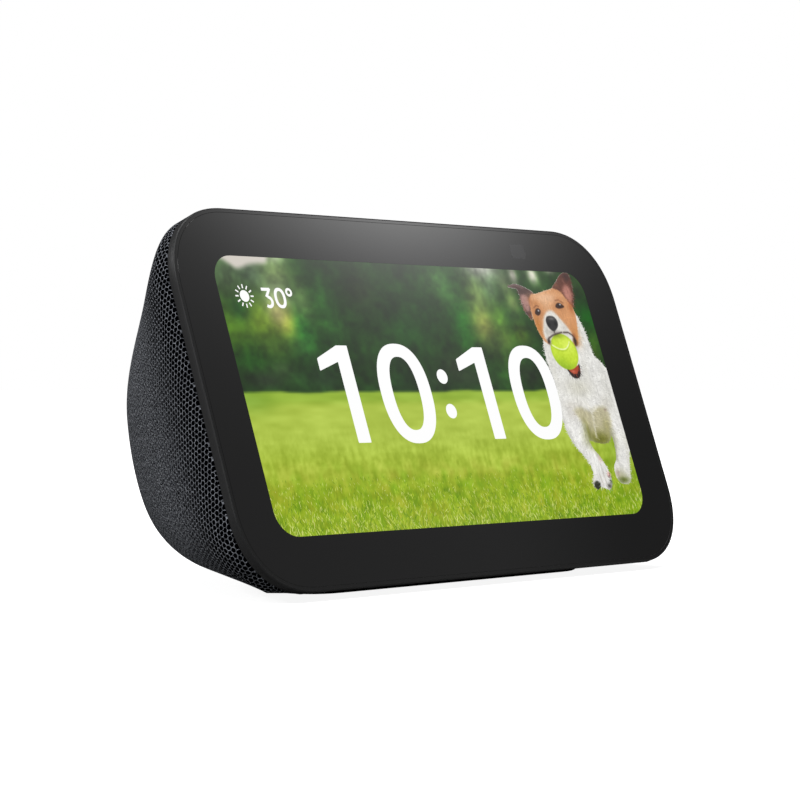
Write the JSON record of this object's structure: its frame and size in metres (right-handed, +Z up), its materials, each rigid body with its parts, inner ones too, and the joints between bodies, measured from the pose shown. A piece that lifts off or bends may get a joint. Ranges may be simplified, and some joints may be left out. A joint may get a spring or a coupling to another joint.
{
  "type": "smart display",
  "caption": "Tabletop smart display with a tilted touch screen, fabric-covered speaker body, top keys and a sliding camera cover.",
  "frame": {"origin": "middle of the object's box, on the surface that the foot rests on", "axes": "+X to the viewer's right across the screen, -Y towards the viewer, +Z up"},
  "size_m": [0.147, 0.0908, 0.0818],
  "materials": {
    "frame_plastic": "fine matte moulding",
    "cover_glass": "polished, dark border printed on the back",
    "screen": "lit picture",
    "knit_fabric": "open net knit, matte",
    "foot_rubber": "matte",
    "button_plastic": "satin",
    "inner_plastic": "matte",
    "white_plastic": "satin",
    "steel": "satin",
    "spreader_aluminium": "bead blasted",
    "circuit_board": "solder mask",
    "chip_black": "matte epoxy",
    "flex_copper": "satin film",
    "camera_glass": "coated",
    "cone_paper": "pressed paper",
    "ferrite": "matte ceramic",
    "soft_seal": "matte"
  },
  "bodies": {
    "body": {"front_frame": "frame_plastic", "cover_glass": "cover_glass", "display_gasket": "soft_seal", "lcd_panel": "screen", "backlight": "white_plastic", "display_bracket": "steel", "display_flex": "flex_copper", "camera_module": "chip_black", "camera_lens": "camera_glass", "camera_board": "circuit_board", "light_sensor": "chip_black", "light_guide": "white_plastic", "shutter_plate": "inner_plastic", "control_strip": "inner_plastic", "mute_switch": "chip_black", "volume_down_switch": "chip_black", "volume_up_switch": "chip_black", "button_board": "circuit_board", "microphone_left": "steel", "microphone_right": "steel", "microphone_gasket_left": "soft_seal", "microphone_gasket_right": "soft_seal", "button_flex": "flex_copper", "main_board": "circuit_board", "processor": "chip_black", "heat_spreader": "spreader_aluminium", "shield_can": "steel", "antenna_left": "flex_copper", "antenna_right": "flex_copper", "fabric_cover": "knit_fabric", "rear_shell": "inner_plastic", "port_bezel": "inner_plastic", "rubber_foot": "foot_rubber", "base_plate": "inner_plastic", "chassis": "inner_plastic", "speaker_box": "inner_plastic", "speaker_gasket": "soft_seal", "speaker_basket": "steel", "speaker_top_plate": "steel", "speaker_magnet": "ferrite", "speaker_yoke": "steel", "speaker_surround": "soft_seal", "speaker_spider": "cone_paper", "dc_jack": "chip_black", "dc_cable": "soft_seal", "speaker_cable": "soft_seal", "board_screw_1": "steel", "base_screw_1": "steel", "board_screw_2": "steel", "base_screw_2": "steel", "board_screw_3": "steel", "base_screw_3": "steel", "board_screw_4": "steel", "base_screw_4": "steel"},
    "mute_key": {"mute_button": "button_plastic"},
    "volume_down_key": {"volume_down_button": "button_plastic"},
    "volume_up_key": {"volume_up_button": "button_plastic"},
    "shutter": {"shutter_knob": "button_plastic", "shutter_blade": "white_plastic"},
    "cone": {"speaker_cone": "cone_paper"}
  },
  "joints": [
    {"name": "mute_press", "type": "slide", "parent": "body", "child": "mute_key", "axis": [0, 0.3392, 0.9407], "range_m": [-0.00035, 0], "stiffness_N_per_m": 4000},
    {"name": "volume_down_press", "type": "slide", "parent": "body", "child": "volume_down_key", "axis": [0, 0.3392, 0.9407], "range_m": [-0.00035, 0], "stiffness_N_per_m": 4000},
    {"name": "volume_up_press", "type": "slide", "parent": "body", "child": "volume_up_key", "axis": [0, 0.3392, 0.9407], "range_m": [-0.00035, 0], "stiffness_N_per_m": 4000},
    {"name": "shutter_slide", "type": "slide", "parent": "body", "child": "shutter", "axis": [1, 0, 0], "range_m": [-0.006, 0]},
    {"name": "cone_travel", "type": "slide", "parent": "body", "child": "cone", "axis": [0, 1, 0], "range_m": [-0.001, 0.001], "stiffness_N_per_m": 1200, "deforming": ["speaker_surround", "speaker_spider"]}
  ]
}
